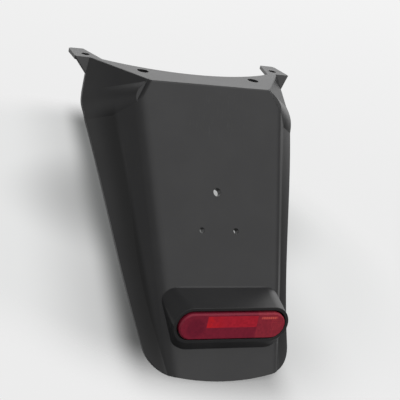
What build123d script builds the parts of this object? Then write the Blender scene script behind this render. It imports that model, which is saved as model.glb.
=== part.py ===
"""Rear fender of a motorcycle: a moulded panel with swept side wings, a bolting flange with two
ears across its top, and an oblong reflector in a hood near its bottom edge.

The pieces are built in the frame of the panel: X across, Y back from the panel's face, Z up along
the panel, with Z = 0 at the edge between the panel and the flange. They are then turned by the
rake into the frame of the motorcycle: Z up, face towards -Y, origin midway between the ear holes."""
import os
from math import cos, radians, sin, tan

from build123d import *

# Moulding
WALL = 2.5
RAKE = 33.0                     # lean of the panel from upright when the flange is level

# Raised panel
PANEL_LENGTH = 248.0            # flange edge to bottom edge, down the middle
PANEL_TOP_HALF = 56.0           # half width at the flange edge
PANEL_SHOULDER_HALF = 66.0      # half width at its widest
PANEL_SHOULDER_DROP = 18.0      # where it is widest, below the flange edge
PANEL_FOOT_HALF = 46.0          # half width at the bottom edge
FLANK_SLOPE = 55.0              # slope of the panel's flanks from its face
PANEL_EDGE_RADIUS = 12.0        # soft edge down each side
CORNER_EDGE_RADIUS = 3.0        # crisper edge along the two top corners
FLANGE_EDGE_RADIUS = 2.0
LEAST_RADIUS = 0.5              # smallest radius left, inside a rounded edge or where one runs out

# Outline of the whole moulding, seen square to the panel
SIDE_HALF = 101.7               # widest point of the wings
SIDE_DROP = 10.0
HEAD_TAPER = 0.233              # narrowing of the outline above the widest point, per unit of height
FOOT_HALF = 63.2                # where the sides would meet the bottom edge
FOOT_SWEEP = 10.0               # rise of the bottom edge from the middle to there
SIDE_RADIUS = 30.0
FOOT_RADIUS = 30.0

# Wings behind the flanks: distance below the flange edge, how far outside the panel's edge the wing
# starts, and slope of the wing from the panel's face
CORNER_TURN = 8.0               # length over which the corner facet turns into the wing
TOE_SPARE = 2.0                 # how far the wings are drawn past the bottom edge, before it is cut
HEAD = (-60.0, 18.5, 46.7)                      # above the flange edge, where the flange cuts it off
CORNER = (0.0, 2.8, 46.7)                       # corner facet at the flange edge
SHOULDER = (PANEL_SHOULDER_DROP, 2.1, 49.9)     # corner facet beside the panel's widest point
WING_TOP = (PANEL_SHOULDER_DROP + CORNER_TURN, -3.0, 46.4)
WAIST = (110.0, -3.2, 43.0)
HIP = (195.0, -5.9, 33.0)                       # level with the reflector
TOE = (PANEL_LENGTH + TOE_SPARE, -3.5, 5.0)
STATIONS = (HEAD, CORNER, SHOULDER, WING_TOP, WAIST, HIP, TOE)
WING_ROOT = 3.0                 # depth at which the wings start, behind the panel's face

# Flange and ears, measured in the flange: back from the flange edge, and for the ears outwards from
# the outline at their front edge
FLANGE_DEPTH = 29.8             # in the middle
FLANGE_END = (-11.2, 54.0)      # where its curved rear edge meets an ear
EAR_HOLE = (0.1, 66.4)
EAR_HOLE_DIAMETER = 7.0
EAR_BACK = 84.5
EAR_BACK_IN = -3.7              # inner corner at the back
EAR_BACK_OUT = 10.3             # outer corner at the back
EAR_FRONT = 56.5
EAR_FRONT_OUT = 12.2            # outer corner at the front
EAR_THICKNESS = 3.0
EAR_RADIUS = 4.0
FLANGE_HOLE = (53.0, 27.5)      # from the middle
FLANGE_HOLE_DIAMETER = 10.0
GUSSET_DROP = 14.0              # height of the web under each ear
GUSSET_THICKNESS = 2.5

# Screw holes in the panel, with a short boss behind each
PLATE_HOLES = (
    (0.0, 92.3, 7.0),           # across, below the flange edge, diameter
    (15.7, 124.7, 4.6),
    (-15.7, 124.7, 4.6),
)
BOSS_WALL = 2.2
BOSS_LENGTH = 4.0

# Reflector: place of its face's centre, and its outline
LENS_RISE = 42.8                # above the panel's bottom edge
LENS_AHEAD = 16.7               # in front of the panel's face
LENS_LENGTH = 95.0
LENS_HEIGHT = 23.0
LENS_DEPTH = 8.0
LENS_WALL = 1.8
LENS_FRONT = 2.5
LENS_BEVEL = 1.2
BACK_THICKNESS = 2.0
BACK_GAP = 0.3                  # round the back plate, inside the lens

# Hood and pocket that hold the reflector
POCKET_GAP = 1.5                # round the lens
LENS_PROUD = 2.5                # lens in front of the hood's rim
RIM_WIDTH = 2.6
HOOD_ROOT = 9.0                 # depth behind the panel's face where the hood's sides start
HOOD_TOP_RISE = 83.7            # above the panel's bottom edge
HOOD_TOP_IN = 3.5               # inside the panel's flank, at the root
HOOD_TOP_RADIUS = 10.0
HOOD_FOOT_RISE = 20.0
HOOD_FOOT_IN = 10.0
HOOD_FOOT_RADIUS = 15.0
HOOD_ROOT_RADIUS = 3.0          # round where the hood's top grows out of the panel
HOOD_ROOT_RUNOUT = 6.0          # length over which that round runs out at each end

# Stud, washer and nut of the reflector
STUD_DIAMETER = 5.0
STUD_GAP = 0.3                  # round the stud in every hole it passes
STUD_HEAD_DIAMETER = 9.0
STUD_HEAD_HEIGHT = 1.5
STUD_SPARE = 2.0                # stud beyond the nut
WASHER_DIAMETER = 10.0
WASHER_THICKNESS = 1.0
NUT_ACROSS_FLATS = 8.0
NUT_HEIGHT = 4.0

# Working allowances for the cutting shapes
SPARE = 6.0                     # skin beyond the outline before it is trimmed
FAR = 300.0                     # reach of the large cutting blocks
NEAR = 0.1                      # straight left between the round corners at each end of the rim

COS_RAKE = cos(radians(RAKE))
SIN_RAKE = sin(radians(RAKE))

# The panel's face seen from the front, with depth counted backwards
FACE = Plane(origin=(0, 0, 0), x_dir=(-1, 0, 0), z_dir=(0, 1, 0))
# The flange's upper face, with height counted upwards
FLANGE = Plane(origin=(0, 0, 0), x_dir=(1, 0, 0), z_dir=(0, -SIN_RAKE, COS_RAKE))
# The reflector's face, with depth counted backwards
LENS_CENTRE = (0, -LENS_AHEAD, LENS_RISE - PANEL_LENGTH)
LENS = Plane(origin=LENS_CENTRE, x_dir=(-1, 0, 0), z_dir=(0, COS_RAKE, SIN_RAKE))

FOOT_DROP = PANEL_LENGTH - FOOT_SWEEP
HOOD_TOP_DROP = PANEL_LENGTH - HOOD_TOP_RISE
HOOD_FOOT_DROP = PANEL_LENGTH - HOOD_FOOT_RISE
SIDE_TAPER = (SIDE_HALF - FOOT_HALF) / (FOOT_DROP - SIDE_DROP)
PANEL_LEAN = (PANEL_SHOULDER_HALF - PANEL_TOP_HALF) / PANEL_SHOULDER_DROP
PANEL_TAPER = (PANEL_SHOULDER_HALF - PANEL_FOOT_HALF) / (PANEL_LENGTH - PANEL_SHOULDER_DROP)


def outline_half(drop):
    """Half width of the outline at a distance below the flange edge, before its corners are
    rounded."""
    if drop < SIDE_DROP:
        return SIDE_HALF - HEAD_TAPER * (SIDE_DROP - drop)
    return SIDE_HALF - SIDE_TAPER * (drop - SIDE_DROP)


def panel_half(drop):
    """Half width of the panel's face at a distance below the flange edge."""
    if drop < PANEL_SHOULDER_DROP:
        return PANEL_SHOULDER_HALF - PANEL_LEAN * (PANEL_SHOULDER_DROP - drop)
    return PANEL_SHOULDER_HALF - PANEL_TAPER * (drop - PANEL_SHOULDER_DROP)


def wing_start(station):
    """Distance from the middle at which a wing starts, at one station."""
    return panel_half(station[0]) + station[1]


def wing_depth(station):
    """Depth at which a wing leaves the outline, with some to spare, at one station."""
    width = outline_half(station[0]) + SPARE - wing_start(station)
    return WING_ROOT + width * tan(radians(station[2]))


def mirrored(points):
    """The points and their mirror images, as one closed outline."""
    return points + [(-x, y) for x, y in reversed(points)]


def rounded_polygon(points, radii):
    """A polygon with its own radius at each corner, a radius of nothing leaving the corner sharp."""
    outline = Polygon(*points, align=None)
    for point, radius in zip(points, radii):
        if radius:
            corner = outline.vertices().sort_by_distance((point[0], point[1], 0))[0]
            outline = fillet(corner, radius)
    return outline


def slab(plane, shape, start, end):
    """A flat shape carried from one distance to another along the normal of its plane."""
    return extrude(plane.offset(start) * shape, end - start, dir=plane.z_dir)


def skin_section(station, inset, back):
    """Cross-section of the skin's block at one station, shrunk by the inset."""
    drop, slope = station[0], station[2]
    reach = outline_half(drop) + SPARE
    points = [
        (wing_start(station) - inset * tan(radians(slope / 2)), WING_ROOT + inset),
        (reach, wing_depth(station) + inset / cos(radians(slope))),
        (reach, back),
    ]
    return Plane.XY.offset(-drop) * Polygon(*mirrored(points), align=None)


def skin(inset, back):
    """The block whose sides are the top corner facets, the round shoulders and the wings, shrunk by
    the inset."""
    sections = [skin_section(station, inset, back) for station in STATIONS]
    facet = loft(sections[:2], ruled=True)
    return facet + loft(sections[1:4]) + loft(sections[3:])


def raised_panel(inset, depth):
    """The raised panel with its sloping flanks, shrunk by the inset."""
    below = PANEL_LENGTH + PANEL_SHOULDER_DROP
    above = -PANEL_SHOULDER_DROP
    points = [(panel_half(drop), -drop) for drop in (below, PANEL_SHOULDER_DROP, above)]
    outline = Polygon(*mirrored(points), align=None)
    if inset:
        outline = offset(outline, -inset * tan(radians(FLANK_SLOPE / 2)), kind=Kind.INTERSECTION)
    block = extrude(FACE.offset(inset) * outline, depth, taper=FLANK_SLOPE - 90)
    for radius, longest in ((PANEL_EDGE_RADIUS, True), (CORNER_EDGE_RADIUS, False)):
        front = block.faces().sort_by(Axis.Y)[0]
        slanted = front.edges().filter_by(Axis.X, reverse=True)
        pair = slanted.sort_by(SortBy.LENGTH, reverse=longest)[:2]
        block = fillet(pair, max(radius - inset, LEAST_RADIUS))
    return block


def above_flange(depth):
    """Everything above a plane at a depth below the flange's upper face."""
    return slab(FLANGE, Rectangle(2 * FAR, 2 * FAR), -depth, FAR)


def level_with_flange(block, first, last):
    """The block cut off by the flange, and rounded along some edges of the cut, counted from the
    front."""
    block -= above_flange(0)
    cut = block.faces().filter_by(FLANGE)[0]
    return fillet(cut.edges().sort_by(Axis.Y)[first:last], FLANGE_EDGE_RADIUS)


SKIN_BACK = max(wing_depth(station) for station in STATIONS) + SPARE
EAR_EDGE = outline_half(-EAR_FRONT * SIN_RAKE)

# Outline of the moulding, square to the panel
outline_top = PANEL_LENGTH / 4
side = [
    (outline_half(-outline_top), outline_top),
    (SIDE_HALF, -SIDE_DROP),
    (FOOT_HALF, -FOOT_DROP),
]
edge = Polyline(*[(-x, y) for x, y in reversed(side)])
edge += Line((-side[0][0], side[0][1]), side[0])
edge += Polyline(*side)
edge += ThreePointArc(side[2], (0, -PANEL_LENGTH), (-FOOT_HALF, -FOOT_DROP))
silhouette = make_face(edge)
for sign in (1, -1):
    for (x, y), radius in ((side[1], SIDE_RADIUS), (side[2], FOOT_RADIUS)):
        corner = silhouette.vertices().sort_by_distance((sign * x, y, 0))[0]
        silhouette = fillet(corner, radius)
trim = slab(FACE, silhouette, -SKIN_BACK, 2 * SKIN_BACK)

# Skin of the moulding
outer = level_with_flange(skin(0, SKIN_BACK), 1, 3)
outer += level_with_flange(raised_panel(0, SKIN_BACK / 2), 0, 5)
outer &= trim
hollow = skin(WALL, 2 * SKIN_BACK) + raised_panel(WALL, SKIN_BACK / 2)
hollow -= above_flange(WALL)

# Hood of the reflector
rim_length = LENS_LENGTH + 2 * (POCKET_GAP + RIM_WIDTH)
rim_height = LENS_HEIGHT + 2 * (POCKET_GAP + RIM_WIDTH)


def hood(inset):
    """The hood from its root to its rim, shrunk by the inset."""
    flank = HOOD_ROOT / tan(radians(FLANK_SLOPE))
    top_half = panel_half(HOOD_TOP_DROP) + flank - HOOD_TOP_IN - inset
    foot_half = panel_half(HOOD_FOOT_DROP) + flank - HOOD_FOOT_IN - inset
    root = [
        (top_half, -HOOD_TOP_DROP - inset),
        (-top_half, -HOOD_TOP_DROP - inset),
        (-foot_half, -HOOD_FOOT_DROP + inset),
        (foot_half, -HOOD_FOOT_DROP + inset),
    ]
    root_radii = (HOOD_TOP_RADIUS, HOOD_TOP_RADIUS, HOOD_FOOT_RADIUS, HOOD_FOOT_RADIUS)
    x = rim_length / 2 - inset
    y = rim_height / 2 - inset
    rim = [(x, y), (-x, y), (-x, -y), (x, -y)]
    root_face = FACE.offset(HOOD_ROOT) * rounded_polygon(root, [r - inset for r in root_radii])
    rim_face = LENS.offset(LENS_PROUD) * rounded_polygon(rim, [y - NEAR] * 4)
    return root_face, loft([root_face, rim_face], ruled=True)


def root_section(x, radius):
    """Cross-section of the round between the panel's face and the hood's top, at a distance from
    the middle."""
    root_top = Vector(0, HOOD_ROOT, -HOOD_TOP_DROP)
    up = Vector(0, 0, 1)
    along = (LENS.from_local_coords(Vector(0, rim_height / 2, LENS_PROUD)) - root_top).normalized()
    out = (up + along).normalized()
    valley = root_top - along * (HOOD_ROOT / along.Y) + Vector(x, 0, 0)
    half_angle = radians(up.get_angle(along) / 2)
    reach = radius / tan(half_angle)
    middle = valley + out * (radius / sin(half_angle) - radius)
    inside = valley - out * WALL
    arc = ThreePointArc(valley + up * reach, middle, valley + along * reach)
    return make_face(arc + Polyline(valley + along * reach, inside, valley + up * reach))


def root_round():
    """The round along the top of the hood, running out to nothing at each end."""
    straight = (rim_length - rim_height) / 2
    bead = extrude(root_section(-straight, HOOD_ROOT_RADIUS), 2 * straight, dir=(1, 0, 0))
    for sign in (1, -1):
        full = root_section(sign * straight, HOOD_ROOT_RADIUS)
        least = root_section(sign * (straight + HOOD_ROOT_RUNOUT), LEAST_RADIUS)
        bead += loft([full, least], ruled=True)
    return bead


hood_outside = hood(0)[1]
hood_mouth, hood_inside = hood(WALL)
floor_back = LENS_DEPTH + WALL
before_floor = slab(LENS, Rectangle(FAR, FAR), -FAR, floor_back)
hood_inside = (hood_inside - before_floor) + extrude(hood_mouth, SKIN_BACK, dir=FACE.z_dir)
pocket_face = SlotOverall(LENS_LENGTH + 2 * POCKET_GAP, LENS_HEIGHT + 2 * POCKET_GAP)
pocket = slab(LENS, pocket_face, -LENS_DEPTH, LENS_DEPTH)
pan = slab(LENS, SlotOverall(rim_length, rim_height), LENS_DEPTH, floor_back)

outer += hood_outside + root_round()
body = outer - hollow - hood_inside
body = (body + pan) - pocket

# Ears, with a web under each
for sign in (1, -1):
    ear = [
        (EAR_EDGE + FLANGE_END[0] - SPARE, FLANGE_END[1] - SPARE),
        (EAR_EDGE, EAR_FRONT),
        (EAR_EDGE + EAR_FRONT_OUT, EAR_FRONT),
        (EAR_EDGE + EAR_BACK_OUT, EAR_BACK),
        (EAR_EDGE + EAR_BACK_IN - SPARE, EAR_BACK),
    ]
    ear_face = rounded_polygon([(sign * x, y) for x, y in ear], (0, 0, EAR_RADIUS / 2, EAR_RADIUS, 0))
    body += slab(FLANGE, ear_face, -EAR_THICKNESS, 0)
    depth = EAR_FRONT * COS_RAKE
    top = EAR_FRONT * SIN_RAKE
    low = top - GUSSET_DROP
    web = [
        (outline_half(-low) - 2 * WALL, low),
        (outline_half(-low), low),
        (EAR_EDGE + EAR_FRONT_OUT, top),
        (outline_half(-top) - 2 * WALL, top),
    ]
    web_face = Polygon(*[(sign * x, y) for x, y in web], align=None)
    body += slab(FACE, web_face, depth, depth + GUSSET_THICKNESS)

# Curved rear edge of the flange, between the ears
lean_in = (EAR_BACK_IN - FLANGE_END[0]) / (EAR_BACK - FLANGE_END[1])
behind = max(EAR_BACK, SKIN_BACK / COS_RAKE) + SPARE
inner = EAR_EDGE + FLANGE_END[0]
behind_in = inner + lean_in * (behind - FLANGE_END[1])
bay = [
    (inner, FLANGE_END[1]),
    (behind_in, behind),
    (-behind_in, behind),
    (-inner, FLANGE_END[1]),
]
bay_edge = Polyline(*bay) + ThreePointArc(bay[3], (0, FLANGE_DEPTH), bay[0])
body -= slab(FLANGE, make_face(bay_edge), -2 * EAR_THICKNESS, EAR_THICKNESS)

# Holes in the ears, flange and panel
for sign in (1, -1):
    ear_hole = Pos(sign * (EAR_EDGE + EAR_HOLE[0]), EAR_HOLE[1]) * Circle(EAR_HOLE_DIAMETER / 2)
    flange_hole = Pos(sign * FLANGE_HOLE[0], FLANGE_HOLE[1]) * Circle(FLANGE_HOLE_DIAMETER / 2)
    for hole in (ear_hole, flange_hole):
        body -= slab(FLANGE, hole, -2 * EAR_THICKNESS, EAR_THICKNESS)
for x, drop, diameter in PLATE_HOLES:
    at = Pos(x, -drop)
    body += slab(FACE, at * Circle(diameter / 2 + BOSS_WALL), WALL / 2, WALL + BOSS_LENGTH)
    body -= slab(FACE, at * Circle(diameter / 2), -WALL, 2 * WALL + BOSS_LENGTH)
stud_hole = Circle(STUD_DIAMETER / 2 + STUD_GAP)
body -= slab(LENS, stud_hole, 0, floor_back + WALL)

# Reflector lens, a cup open at the back
lens = slab(LENS, SlotOverall(LENS_LENGTH, LENS_HEIGHT), 0, LENS_DEPTH)
lens_face = lens.faces().sort_by(Axis(LENS_CENTRE, LENS.z_dir))[0]
lens = chamfer(lens_face.edges(), LENS_BEVEL)
cup_length = LENS_LENGTH - 2 * LENS_WALL
cup_height = LENS_HEIGHT - 2 * LENS_WALL
lens -= slab(LENS, SlotOverall(cup_length, cup_height), LENS_FRONT, LENS_DEPTH + WALL)

# Back plate in the mouth of the lens
plate_front = LENS_DEPTH - BACK_THICKNESS
back_face = SlotOverall(cup_length - 2 * BACK_GAP, cup_height - 2 * BACK_GAP) - stud_hole
back = slab(LENS, back_face, plate_front, LENS_DEPTH)

# Stud with its head behind the lens, washer and nut behind the pocket's floor
nut_front = floor_back + WASHER_THICKNESS
stud_end = nut_front + NUT_HEIGHT + STUD_SPARE
stud = slab(LENS, Circle(STUD_HEAD_DIAMETER / 2), plate_front - STUD_HEAD_HEIGHT, plate_front)
stud += slab(LENS, Circle(STUD_DIAMETER / 2), plate_front, stud_end)
washer = slab(LENS, Circle(WASHER_DIAMETER / 2) - stud_hole, floor_back, nut_front)
nut_face = RegularPolygon(NUT_ACROSS_FLATS / 2, 6, major_radius=False) - stud_hole
nut = slab(LENS, nut_face, nut_front, nut_front + NUT_HEIGHT)

# Pieces in the frame of the motorcycle
ON_BIKE = Pos(0, -EAR_HOLE[1], 0) * Rot(-RAKE, 0, 0)
pieces = {
    "fender_body": body,
    "reflector_lens": lens,
    "reflector_back": back,
    "reflector_stud": stud,
    "reflector_washer": washer,
    "reflector_nut": nut,
}
os.makedirs("parts", exist_ok=True)
for name, piece in pieces.items():
    placed = ON_BIKE * piece
    export_step(placed, f"parts/{name}.step")
    box = placed.bounding_box()
    print(name, len(placed.solids()), round(placed.volume), box.min, box.max)
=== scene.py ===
# %% [markdown]
# # A motorcycle rear fender
# The fender is one black moulding with a red reflector in a hood near its bottom edge. The solids
# come ready made, in metres, with Z up and the panel facing -Y, so this lesson is about finishes,
# light and camera. The first step loads the solids and keeps the box that they fill, because
# nothing added later may stand outside that box.

# %% Load the solids
from math import cos, radians, sin

import bpy
from mathutils import Matrix, Vector


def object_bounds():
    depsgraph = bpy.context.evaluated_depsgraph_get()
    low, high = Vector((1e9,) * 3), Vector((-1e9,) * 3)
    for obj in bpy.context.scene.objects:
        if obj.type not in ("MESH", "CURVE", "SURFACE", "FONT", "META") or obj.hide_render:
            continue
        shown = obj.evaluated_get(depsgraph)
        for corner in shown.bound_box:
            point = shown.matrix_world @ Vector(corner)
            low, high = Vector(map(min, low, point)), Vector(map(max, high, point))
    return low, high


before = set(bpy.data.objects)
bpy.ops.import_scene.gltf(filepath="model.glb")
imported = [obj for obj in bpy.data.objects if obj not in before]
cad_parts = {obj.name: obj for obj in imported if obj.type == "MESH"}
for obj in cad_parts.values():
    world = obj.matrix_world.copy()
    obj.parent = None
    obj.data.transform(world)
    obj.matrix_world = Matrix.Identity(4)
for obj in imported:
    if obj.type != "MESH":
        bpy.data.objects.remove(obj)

solids_box = [list(corner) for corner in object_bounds()]
print("solids:", sorted(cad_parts))
print("box in mm:", [[round(1000 * value, 1) for value in corner] for corner in solids_box])

# %% [markdown]
# ## The camera
# A product photograph taken from about a metre away shows little perspective, so a long lens fits
# it. The camera's place and its three directions are written down in the frame of the fender. The
# fender was standing on its bottom edge when it was photographed, while here it is in the position
# it has on the motorcycle, and that is why the camera looks tilted. A camera looks along its own
# -Z, so the third column of its matrix is the opposite of the direction of view.

# %% Place the camera
EYE = Vector((-0.4090, -0.8805, 0.2244))
RIGHT = Vector((0.9014, -0.3868, 0.1948))
UP = Vector((-0.0318, 0.3892, 0.9206))
FORWARD = UP.cross(RIGHT)

lens_data = bpy.data.cameras.new("photo_camera")
lens_data.lens = 99.0
lens_data.sensor_width = 36.0
camera = bpy.data.objects.new("photo_camera", lens_data)
camera.matrix_world = Matrix((
    (RIGHT.x, UP.x, -FORWARD.x, EYE.x),
    (RIGHT.y, UP.y, -FORWARD.y, EYE.y),
    (RIGHT.z, UP.z, -FORWARD.z, EYE.z),
    (0, 0, 0, 1),
))
bpy.context.collection.objects.link(camera)
bpy.context.scene.camera = camera
bpy.context.scene.view_settings.view_transform = "Standard"
print("camera looks along", [round(value, 3) for value in FORWARD])

# %% [markdown]
# ## Writing shaders as sums
# A finish is a graph of nodes, and a graph is hard to read in a script. A small class makes it
# readable: a Wire holds one output socket, and sums and products of wires add Math nodes to the
# same tree. Any other node comes from one method, which takes the kind of node, its settings and
# what goes into its sockets. Colours and vectors have nodes of their own, because a Math node
# works on single numbers.

# %% A wire between nodes
class Wire:
    """One output socket. Arithmetic on it adds Math nodes to its tree."""

    def __init__(self, socket):
        self.socket = socket
        self.tree = socket.id_data

    @staticmethod
    def node(tree, kind, settings=None, inputs=None, output=0):
        """Adds a node, sets it, then fills its sockets with values or wires."""
        made = tree.nodes.new(kind)
        for name, value in (settings or {}).items():
            setattr(made, name, value)
        for name, value in (inputs or {}).items():
            if isinstance(name, int):
                socket = made.inputs[name]
            else:
                socket = next(s for s in made.inputs if s.name == name and s.enabled)
            if isinstance(value, Wire):
                tree.links.new(value.socket, socket)
            else:
                socket.default_value = value
        outputs = [s for s in made.outputs if s.enabled]
        chosen = outputs[output] if isinstance(output, int) else made.outputs[output]
        return Wire(chosen)

    def math(self, operation, first, second=0.0, clamp=False):
        settings = {"operation": operation, "use_clamp": clamp}
        return Wire.node(self.tree, "ShaderNodeMath", settings, {0: first, 1: second})

    def __add__(self, other):
        return self.math("ADD", self, other)

    def __sub__(self, other):
        return self.math("SUBTRACT", self, other)

    def __rsub__(self, other):
        return self.math("SUBTRACT", other, self)

    def __mul__(self, other):
        return self.math("MULTIPLY", self, other)

    def __truediv__(self, other):
        return self.math("DIVIDE", self, other)

    def __abs__(self):
        return self.math("ABSOLUTE", self)

    __radd__ = __add__
    __rmul__ = __mul__

    def clamped(self):
        return self.math("ADD", self, 0.0, clamp=True)

    def rises(self, low, high):
        """0 below the low value, 1 above the high one, and smooth between them."""
        settings = {"interpolation_type": "SMOOTHSTEP"}
        inputs = {"Value": self, "From Min": low, "From Max": high}
        return Wire.node(self.tree, "ShaderNodeMapRange", settings, inputs)

    def within(self, low, high, soft):
        """1 between two values, falling to 0 over the soft distance outside them."""
        return self.rises(low - soft, low) * (1 - self.rises(high, high + soft))


def mixed(factor, first, second):
    """A blend of two colours."""
    settings = {"data_type": "RGBA"}
    inputs = {"Factor": factor, "A": first, "B": second}
    return Wire.node(factor.tree, "ShaderNodeMix", settings, inputs)


def vector_sum(operation, first, second=(0, 0, 0), output="Value"):
    """A sum with vectors, which gives a number or another vector."""
    inputs = {0: first, 1: second}
    return Wire.node(first.tree, "ShaderNodeVectorMath", {"operation": operation}, inputs, output)


def rgba(red, green, blue):
    return (red, green, blue, 1.0)


print("a wire knows:", [name for name in vars(Wire) if not name.startswith("_")])

# %% [markdown]
# ## A finish for each slot
# Each solid arrives with a plain stand-in material. A finish replaces it: a new material with an
# empty tree, a Principled shader and an output. The place of a point in millimetres is worked out
# from the object coordinates, which are the coordinates of the fender itself, so grain and marks
# have their real size and stay where they are from every side.

# %% Start a finish
def new_finish(name):
    """An empty material with its Principled shader, and its node tree."""
    material = bpy.data.materials.new(name)
    material.use_nodes = True
    tree = material.node_tree
    tree.nodes.clear()
    shader = tree.nodes.new("ShaderNodeBsdfPrincipled")
    output = tree.nodes.new("ShaderNodeOutputMaterial")
    tree.links.new(shader.outputs["BSDF"], output.inputs["Surface"])
    return material, tree, shader


def feed(shader, **wires):
    """Links wires to the shader's sockets, named with underscores for spaces."""
    for name, wire in wires.items():
        socket = shader.inputs[name.replace("_", " ")]
        shader.id_data.links.new(wire.socket, socket)


def place_mm(tree):
    """The place of a point in millimetres, as a vector and as three numbers."""
    metres = Wire.node(tree, "ShaderNodeTexCoord", output="Object")
    settings = {"operation": "SCALE"}
    place = Wire.node(tree, "ShaderNodeVectorMath", settings, {"Vector": metres, "Scale": 1000.0})
    parts = [Wire.node(tree, "ShaderNodeSeparateXYZ", None, {0: place}, axis) for axis in "XYZ"]
    return place, parts


def noise(place, size_mm, detail=2.0, roughness=0.5):
    """Cloudy noise whose clouds are about as large as the size, from 0 to 1."""
    inputs = {"Vector": place, "Scale": 1.0 / size_mm, "Detail": detail, "Roughness": roughness}
    return Wire.node(place.tree, "ShaderNodeTexNoise", None, inputs, "Fac")


def bumped(height, strength, distance_mm, base=None):
    """A normal tilted by a height. The distance is the real depth of the relief."""
    inputs = {"Height": height, "Strength": strength, "Distance": distance_mm / 1000}
    if base:
        inputs["Normal"] = base
    return Wire.node(height.tree, "ShaderNodeBump", None, inputs)


def wear_finish(material, *names):
    """Puts the finish on the named solids."""
    for name in names:
        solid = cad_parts[name]
        for slot in solid.material_slots:
            slot.material = material
    print(material.name, "on", ", ".join(names))


# %% [markdown]
# ## Black moulded plastic
# The moulding is black polypropylene with a fine grain etched into the mould, so it is satin, not
# shiny: a dark grey with soft reflections. A flat colour would look like paper. Three things make
# it plastic: grain as a shallow bump, slow changes of roughness where hands and the mould left
# their marks, and a faint veil of dust. The photograph also shows pale scuffs high on the panel. A
# dark valley between the flanks and the wings is painted shade, and the wings are painted paler
# from there outwards, a painted shading gradient. All are placed by the distance below the flange
# edge, which the slope of the panel gives, and by the distance from the middle. A Bevel node rounds
# the sharp edges in the shading only, as every moulded edge is a little round.

# %% Black plastic for the moulding
RAKE = radians(33.0)
EAR_HOLE_BACK = 66.4            # ear holes behind the flange edge, in millimetres
PANEL_SHOULDER_HALF = 66.0      # half width of the panel where it is widest
PANEL_SHOULDER_DROP = 18.0      # where that is, below the flange edge
PANEL_TAPER = 0.087             # narrowing of each side below that, per millimetre
VALLEY_OUT = 17.5               # valley between flank and wing, outside the panel's edge at the top
VALLEY_TAPER = 0.045            # how much closer it gets to that edge, per millimetre down the panel

plastic, tree, shader = new_finish("fender_plastic")
place, (x, y, z) = place_mm(tree)
drop = (y + EAR_HOLE_BACK) * -sin(RAKE) - z * cos(RAKE)

grain = noise(place, 0.55, detail=3.0, roughness=0.6)
cloud = noise(place, 38.0, detail=3.0)
speck = noise(place, 2.2, detail=2.0)

long_marks = Wire.node(tree, "ShaderNodeMapping", {"vector_type": "POINT"}, {
    "Vector": place, "Rotation": (0, radians(28), 0), "Scale": (1.0, 0.12, 0.12)})
streaks = noise(long_marks, 1.1, detail=4.0, roughness=0.65).rises(0.56, 0.74)
scuffed = x.within(-12, 24, 16) * drop.within(12, 38, 14)
scuff = streaks * scuffed

outside = abs(x) - (PANEL_SHOULDER_HALF - (drop - PANEL_SHOULDER_DROP) * PANEL_TAPER)
# painted shading: the wings are made paler towards their outer edges, darker towards the valley
painted_wing_shading = outside.rises(5, 40) * 0.36
past_valley = outside + drop * VALLEY_TAPER - VALLEY_OUT
# painted shade: darkest in the valley between flank and wing
painted_valley_shade = past_valley.rises(-3, 0) * (1 - past_valley.rises(0, 16)) * drop.rises(14, 30)

settled = cloud.rises(0.35, 0.75) * 0.12 + speck.rises(0.66, 0.8) * 0.06
# settled dust and scuffs, plus the painted shading of the wings
dust_and_painted_shading = (settled + scuff * 0.5 + painted_wing_shading).clamped()
colour = mixed(dust_and_painted_shading, rgba(0.018, 0.018, 0.019), rgba(0.067, 0.067, 0.066))
# painted shade: the valley is mixed to near black
colour = mixed(painted_valley_shade * 0.95, colour, rgba(0.001, 0.001, 0.001))
round_edge = Wire.node(tree, "ShaderNodeBevel", {"samples": 6}, {"Radius": 0.0007})
feed(
    shader,
    Base_Color=colour,
    Roughness=0.33 + cloud * 0.07 + scuff * 0.18 + speck * 0.03,
    Normal=bumped(grain, 0.22, 0.08, round_edge),
)
wear_finish(plastic, "fender_body")

# %% [markdown]
# ## The red reflector
# A reflector lens is clear red acrylic with thousands of tiny prisms on its back, moulded in
# fields. Light that enters is sent back to where it came from, so from other sides each field
# looks a different red. Real prisms behind clear red plastic could be modelled, but at this size
# they would only give noise. Instead each field gets its own red, with the grid of prisms as
# cells in colour and in a slight relief, under a clear smooth coat. At the right end a row and a
# cluster of bright orange points are painted glints.

# %% Red lens with its fields
LENS_MIDDLE = -163.0            # height of the lens's middle, in millimetres
# spacing of the painted glints
GLINT_PITCH = 2.0               # distance between the bright points at the right end
PRISM_SIZE = 1 / 0.55           # about the size of a prism

lens, tree, shader = new_finish("red_lens")
place, (x, _, z) = place_mm(tree)
height = z - LENS_MIDDLE
cells = {"feature": "F1", "distance": "EUCLIDEAN"}
grid = {"Vector": place, "Scale": 1 / PRISM_SIZE, "Randomness": 0.25}
prism = Wire.node(tree, "ShaderNodeTexVoronoi", cells, grid, "Color")
prism_tone = Wire.node(tree, "ShaderNodeSeparateColor", None, {0: prism}, "Red")
prism_edge = Wire.node(tree, "ShaderNodeTexVoronoi", cells, grid, "Distance")
blotch = noise(place, 5.0, detail=3.0)

right_end = x.rises(20.5, 22.0)
window = x.within(-23.8, 20.8, 0.5) * height.within(-0.4, 9.2, 0.5)
bright_end = window * (1 - x.rises(-21, -6)) * blotch.rises(0.25, 0.7)
# painted glints: a dotted row and a cluster of bright points at the right end
beat_across, beat_up = [
    way.math("PINGPONG", way, GLINT_PITCH / 2) / (GLINT_PITCH / 2) for way in (x, height)]
painted_glint_row = x.within(26, 37, 3) * height.within(6.8, 8.0, 0.8) * (0.3 + beat_across.rises(0.2, 0.8) * 0.7)
painted_glint_dots = x.within(36, 43, 3) * height.within(-3, 4.5, 2) * (beat_across * beat_up).rises(0.4, 0.8)
left_ring = (x + 33.4) * (x + 33.4) + (height + 1) * (height + 1)
dim = (1 - left_ring.rises(30, 90)) * 0.35

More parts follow.
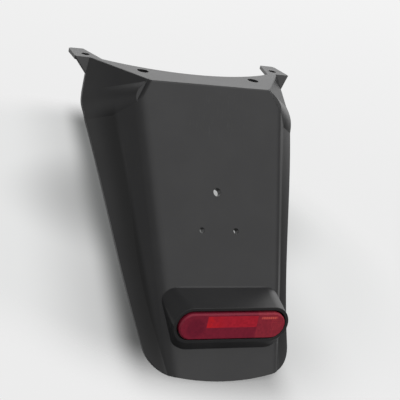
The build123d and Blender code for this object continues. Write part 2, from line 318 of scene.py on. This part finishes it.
wine = mixed(prism_tone, rgba(0.24, 0.02, 0.042), rgba(0.29, 0.023, 0.048))
claret = mixed(prism_tone, rgba(0.31, 0.03, 0.05), rgba(0.4, 0.036, 0.058))
ruby = mixed(prism_tone, rgba(0.5, 0.02, 0.04), rgba(0.6, 0.025, 0.048))
colour = mixed(right_end, wine, claret)
colour = mixed(dim, colour, rgba(0.12, 0.01, 0.03))
colour = mixed(window, colour, ruby)
colour = mixed(bright_end, colour, rgba(0.74, 0.022, 0.03))
# the painted glints, bright orange-red
colour = mixed((painted_glint_row * 0.9 + painted_glint_dots * 0.4).clamped(), colour, rgba(1.0, 0.17, 0.13))
feed(
    shader,
    Base_Color=colour,
    Roughness=0.12 + prism_tone * 0.08,
    Normal=bumped(prism_edge, 0.12, 0.15),
)
shader.inputs["Specular IOR Level"].default_value = 0.0
shader.inputs["Coat Weight"].default_value = 0.4
shader.inputs["Coat Roughness"].default_value = 0.04
wear_finish(lens, "reflector_lens")

# %% [markdown]
# ## What holds the reflector
# Behind the lens sits a smooth dark plate, and a zinc plated stud, washer and nut hold both to the
# fender. Zinc is a soft grey metal with a fine mottle, which changes its roughness more than its
# colour.

# %% Back plate and fastening
plate, tree, shader = new_finish("reflector_plastic")
place, _ = place_mm(tree)
mottle = noise(place, 6.0, detail=2.0)
feed(
    shader,
    Base_Color=mixed(mottle, rgba(0.03, 0.028, 0.028), rgba(0.055, 0.05, 0.05)),
    Roughness=0.32 + mottle * 0.16,
)
wear_finish(plate, "reflector_back")

zinc, tree, shader = new_finish("zinc_steel")
place, _ = place_mm(tree)
mottle = noise(place, 1.6, detail=3.0)
feed(
    shader,
    Base_Color=mixed(mottle, rgba(0.5, 0.5, 0.48), rgba(0.72, 0.72, 0.7)),
    Roughness=0.24 + mottle * 0.26,
    Normal=bumped(mottle, 0.1, 0.05),
)
shader.inputs["Metallic"].default_value = 1.0
wear_finish(zinc, "reflector_stud", "reflector_washer", "reflector_nut")

# %% [markdown]
# ## The room around the fender
# Black satin plastic shows mostly what it reflects, so the surroundings matter more than the lamps.
# In the photograph a bright wall stands behind the fender and the room in front is darker: the
# flange and the right corner mirror the wall and look pale, the panel mirrors a window, and the
# left wing a dim room. Real walls and a window could be built around it, but a sky that depends on
# direction does the same with a few sums: each part of the room is a soft patch of the sky, and the
# camera looks at the bright wall too. North is the way that the panel's back faces, east is right.

# %% Sky
WINDOW = (0.45, -0.66, 0.60)        # direction of the window that the panel mirrors
LEFT_ROOM = (-0.80, -0.50, 0.33)    # direction of the room that the left wing mirrors

world = bpy.data.worlds.new("studio")
bpy.context.scene.world = world
world.use_nodes = True
tree = world.node_tree
tree.nodes.clear()
direction = Wire.node(tree, "ShaderNodeTexCoord", output="Generated")
east, north, up = [
    Wire.node(tree, "ShaderNodeSeparateXYZ", None, {0: direction}, axis) for axis in "XYZ"]


def lobe(towards, soft, full):
    """1 near a direction, fading out to 0 away from it."""
    return vector_sum("DOT_PRODUCT", direction, towards).rises(soft, full)


right_side = east.rises(0.58, 0.66) * (1 - up.rises(-0.2, -0.1))
behind = north.rises(0.40, 0.62) * (1 - east.rises(0.78, 0.9) * 0.8) * (1 - right_side * 0.8)
wall_end = (1 - up.rises(0.45, 0.7)) * east.rises(-0.5, -0.1)
wall = behind * (0.72 + up.rises(0.0, 0.3) * 0.65) * wall_end
dusk = 0.12 + up.rises(-0.35, 0.1) * 0.12
window = lobe(WINDOW, 0.45, 0.98) * 0.85
left_room = lobe(LEFT_ROOM, 0.6, 0.85) * 0.28
glow = dusk + wall + window + left_room
room = Wire.node(tree, "ShaderNodeCombineColor", None, {"Red": glow, "Green": glow, "Blue": glow})
sky = Wire.node(tree, "ShaderNodeBackground", None, {"Color": room})
output = tree.nodes.new("ShaderNodeOutputWorld")
tree.links.new(sky.socket, output.inputs["Surface"])

print("sky with wall, window and left room")

# %% [markdown]
# ## The floor
# The fender stands on a pale oval mat whose edge fades away into the room. A large floor could be
# used, but the lens and the right wing would then mirror a white floor, and in the photograph they
# look dark and clear. The mat is lifted towards the white of the wall, for the camera and for
# reflections alike, and least in a patch of painted shade behind the panel, which shows through the
# holes. The photograph also has a soft shadow along the fender's left edge, because its wall is
# close. Here no wall stands so close, so that shadow is painted on the mat as a darker band. It
# follows a straight line on the mat, and the distance from a line is one dot product.

# %% Pale mat
PALE = rgba(0.83, 0.835, 0.833)
MATT = rgba(0.5, 0.505, 0.503)
# grey of the painted shadow along the fender's left edge
PAINTED_SHADOW_GREY = rgba(0.24, 0.245, 0.243)
FLOOR_LEVEL = solids_box[0][2] - 0.0005
DISC_PLACE = (0.04, 0.02, FLOOR_LEVEL)
DISC_RADIUS = 0.6
# The rest is measured from the middle of the disc, in metres.
OVAL_MIDDLE = (0, 0.13, 0)          # the mat reaches further behind the fender than in front
OVAL_SQUEEZE = (1, 0.69, 1)         # makes the mat longer than it is wide
OVAL_FADE = (0.21, 0.29)            # half widths where the mat starts to fade and where it has gone
# painted shade behind the panel, seen through the holes
PAINTED_SHADE_MIDDLE = (0.05, 0.15, 0)      # shade behind the panel
PAINTED_SHADE_FADE = (0.06, 0.2)
# painted shadow: a soft band along the fender's left edge
EDGE_ACROSS = (-0.974, 0.225, 0)    # direction across the fender's left edge, along the mat
EDGE_AWAY = 0.05                    # how far that edge is from the middle
SHADOW_WIDE = 0.09                  # the dark part of the shadow, most of it hidden by the fender

bpy.ops.mesh.primitive_circle_add(vertices=96, radius=DISC_RADIUS, fill_type="NGON",
                                  location=DISC_PLACE)
floor = bpy.context.object
floor.name = "pale_mat"

pale = bpy.data.materials.new("pale_mat")
pale.use_nodes = True
tree = pale.node_tree
tree.nodes.clear()
place = Wire.node(tree, "ShaderNodeTexCoord", output="Object")
moved = vector_sum("SUBTRACT", place, OVAL_MIDDLE, "Vector")
reach = vector_sum("LENGTH", vector_sum("MULTIPLY", moved, OVAL_SQUEEZE, "Vector"))
# painted shade: the mat is lifted less behind the panel
painted_shade = vector_sum("DISTANCE", place, PAINTED_SHADE_MIDDLE)
across = vector_sum("DOT_PRODUCT", place, EDGE_ACROSS)
beside = abs(across - EDGE_AWAY + SHADOW_WIDE / 2) - SHADOW_WIDE / 2
# painted shadow: the lift is lowered along the left edge's band
painted_shadow_dimming = 0.05 + beside.rises(0.005, 0.035) * 0.58 + beside.rises(0.02, 0.11) * 0.37
rays = [Wire.node(tree, "ShaderNodeLightPath", output=f"Is {kind} Ray")
        for kind in ("Camera", "Glossy", "Transmission")]
seen = (rays[0] + rays[1] + rays[2]).clamped()
# painted shadow: the matt colour turns grey in the same band
matt_with_painted_shadow = mixed(beside.rises(0.005, 0.04), PAINTED_SHADOW_GREY, MATT)
matt = Wire.node(tree, "ShaderNodeBsdfDiffuse", None, {"Color": matt_with_painted_shadow})
light = Wire.node(tree, "ShaderNodeEmission", None, {"Color": PALE})
lifted = Wire.node(tree, "ShaderNodeMixShader", None, {
    0: seen * painted_shadow_dimming * (0.15 + painted_shade.rises(*PAINTED_SHADE_FADE) * 0.75), 1: matt, 2: light})
clear = Wire.node(tree, "ShaderNodeBsdfTransparent")
both = Wire.node(tree, "ShaderNodeMixShader", None, {
    0: reach.rises(*OVAL_FADE), 1: lifted, 2: clear})
output = tree.nodes.new("ShaderNodeOutputMaterial")
tree.links.new(both.socket, output.inputs["Surface"])
floor.data.materials.append(pale)
print("mat at", round(1000 * FLOOR_LEVEL, 1), "mm")

# %% [markdown]
# ## The lamp
# One large soft lamp above and a little to the right draws the thin light line along the top of
# the hood. A lamp is turned towards its target by making its -Z point there.

# %% Soft lamp
def soft_lamp(name, place, target, size, watts):
    """A square area lamp that looks at a target."""
    data = bpy.data.lights.new(name, "AREA")
    data.size = size
    data.energy = watts
    lamp = bpy.data.objects.new(name, data)
    lamp.location = place
    lamp.rotation_euler = (Vector(target) - Vector(place)).to_track_quat("-Z", "Y").to_euler()
    bpy.context.collection.objects.link(lamp)
    return lamp


FENDER_MIDDLE = (0, -0.1, -0.1)
LAMP_PLACE = (0.55, -0.2, 1.2)
key = soft_lamp("key_lamp", LAMP_PLACE, FENDER_MIDDLE, size=0.6, watts=2.0)
print("lamp:", key.name)

# %% [markdown]
# ## Sizes
# The finishes change no shape, so the box of the dressed fender is the box of its solids.
